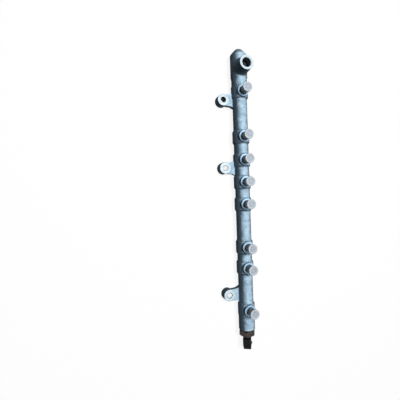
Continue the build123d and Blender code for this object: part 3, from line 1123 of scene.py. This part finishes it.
class FUELRAIL_OT_mould_connector(bpy.types.Operator):
    """Mould the sensor's connector: open shell, catch, coding ribs and eased edges"""

    bl_idname = "fuelrail.mould_connector"
    bl_label = "Mould the connector"

    def execute(self, context):
        size = context.scene.rail_sensor
        connector = merged_copy("sensor_connector", "moulded_connector")
        place_now = sensor_matrix(size.turn)
        place(connector, place_now.inverted())
        melt_flats(connector)
        shell_base = (RAIL_END - SOCKET_MOUTH.y) - size.shell_length
        rib_length = 0.8 * size.shell_length
        rib_size = (2 * size.rib_height, size.rib_width, rib_length)
        rib_middle = shell_base + 0.45 * size.shell_length
        for side in (-1, 1):
            rib_place = (-size.shell_width / 2, side * size.rib_spacing / 2, rib_middle)
            rib = boxed("rib", rib_size, rib_place)
            join(connector, rib)
        round_edges(connector, size.mould_edge, 40)
        smooth(connector, 35)
        place(connector, place_now)
        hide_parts("sensor_connector")
        settle(connector, shared(black_glass_filled_pbt))
        return {"FINISHED"}


def sensor_matrix(turn):
    """The sensor's frame: its Z leaves the rail's end, its X crosses the connector."""
    across = Vector((math.cos(turn), 0, math.sin(turn)))
    out = Vector((0, -1, 0))
    matrix = Matrix((across, out.cross(across), out)).transposed().to_4x4()
    matrix.translation = (RAIL_X, RAIL_END, RAIL_Z)
    return matrix


# ---------------------------------------------------------------- the stage
class FUELRAIL_OT_set_stage(bpy.types.Operator):
    """Set the camera, the lamps, the sky and the white floor"""

    bl_idname = "fuelrail.set_stage"
    bl_label = "Set the stage"

    def execute(self, context):
        stage = context.scene.rail_stage
        bpy.ops.object.camera_add(location=stage.camera_place, rotation=stage.camera_turn)
        camera = context.object
        camera.data.sensor_width = 36
        camera.data.lens = stage.focal_length
        context.scene.camera = camera
        middle = (CAD_BOX[0] + CAD_BOX[1]) / 2
        key_way, top_way = Vector(stage.key_way), Vector((0.1, 0, 1))
        size, distance = stage.key_size, stage.lamp_distance
        hang_lamp("key_lamp", middle, key_way, distance, size, stage.key_power)
        hang_lamp("top_lamp", middle, top_way, distance, 2 * size, stage.top_power)
        self.paint_sky(context.scene, stage)
        bpy.ops.mesh.primitive_plane_add(size=stage.floor_size, location=(middle.x, middle.y, 0))
        floor = context.object
        floor.name = floor.data.name = "studio_floor"
        bpy.ops.object.transform_apply(location=True, rotation=True, scale=True)
        floor.data.materials.append(white_sweep())
        context.scene.view_settings.view_transform = "Standard"
        return {"FINISHED"}

    def paint_sky(self, scene, stage):
        """Weak light all round the object, which the camera sees as plain white."""
        scene.world = bpy.data.worlds.new("studio_sky")
        scene.world.use_nodes = True
        tree = scene.world.node_tree
        tree.nodes.clear()
        light = add_node(
            tree,
            "ShaderNodeBackground",
            {"Color": linear(stage.sky), "Strength": stage.sky_strength},
        )
        white = add_node(tree, "ShaderNodeBackground", {"Color": linear("#FFFFFF")})
        mix = add_node(
            tree,
            "ShaderNodeMixShader",
            {0: seen_directly(tree), 1: light.outputs[0], 2: white.outputs[0]},
        )
        add_node(tree, "ShaderNodeOutputWorld", {"Surface": mix.outputs[0]})


def hang_lamp(name, target, way, distance, size, power):
    """A square soft lamp at this distance from a target, and turned to it."""
    way = way.normalized()
    turn = way.to_track_quat("Z", "Y").to_euler()
    bpy.ops.object.light_add(type="AREA", location=target + way * distance, rotation=turn)
    lamp = bpy.context.object
    lamp.name = lamp.data.name = name
    lamp.data.shape = "SQUARE"
    lamp.data.size = size
    lamp.data.energy = power


# ---------------------------------------------------------------- panel and start
class FUELRAIL_PT_dressing(bpy.types.Panel):
    """Every step of the dressing, with its sizes and colours"""

    bl_idname = "FUELRAIL_PT_dressing"
    bl_label = "Fuel Rail"
    bl_space_type = "VIEW_3D"
    bl_region_type = "UI"
    bl_category = "Fuel Rail"

    STEPS = {
        "fuelrail.set_stage": "rail_stage",
        "fuelrail.dress_forging": "rail_forging",
        "fuelrail.cut_threads": "rail_thread",
        "fuelrail.fit_plugs": "rail_plug",
        "fuelrail.dress_sensor": "rail_sensor",
        "fuelrail.mould_connector": None,
    }

    def draw(self, context):
        for step, group_name in self.STEPS.items():
            box = self.layout.box()
            box.operator(step)
            if group_name:
                group = getattr(context.scene, group_name)
                for name in group.__annotations__:
                    box.prop(group, name)


CLASSES = [
    *SETTINGS.values(),
    FUELRAIL_OT_set_stage,
    FUELRAIL_OT_dress_forging,
    FUELRAIL_OT_cut_threads,
    FUELRAIL_OT_fit_plugs,
    FUELRAIL_OT_dress_sensor,
    FUELRAIL_OT_mould_connector,
    FUELRAIL_PT_dressing,
]


def register():
    for entry in CLASSES:
        bpy.utils.register_class(entry)
    for name, group in SETTINGS.items():
        setattr(bpy.types.Scene, name, PointerProperty(type=group))


def unregister():
    for name in SETTINGS:
        delattr(bpy.types.Scene, name)
    for entry in reversed(CLASSES):
        bpy.utils.unregister_class(entry)


def main():
    register()
    bpy.ops.fuelrail.set_stage()
    bpy.ops.fuelrail.dress_forging()
    bpy.ops.fuelrail.cut_threads()
    bpy.ops.fuelrail.fit_plugs()
    bpy.ops.fuelrail.dress_sensor()
    bpy.ops.fuelrail.mould_connector()


if __name__ == "__main__":
    main()
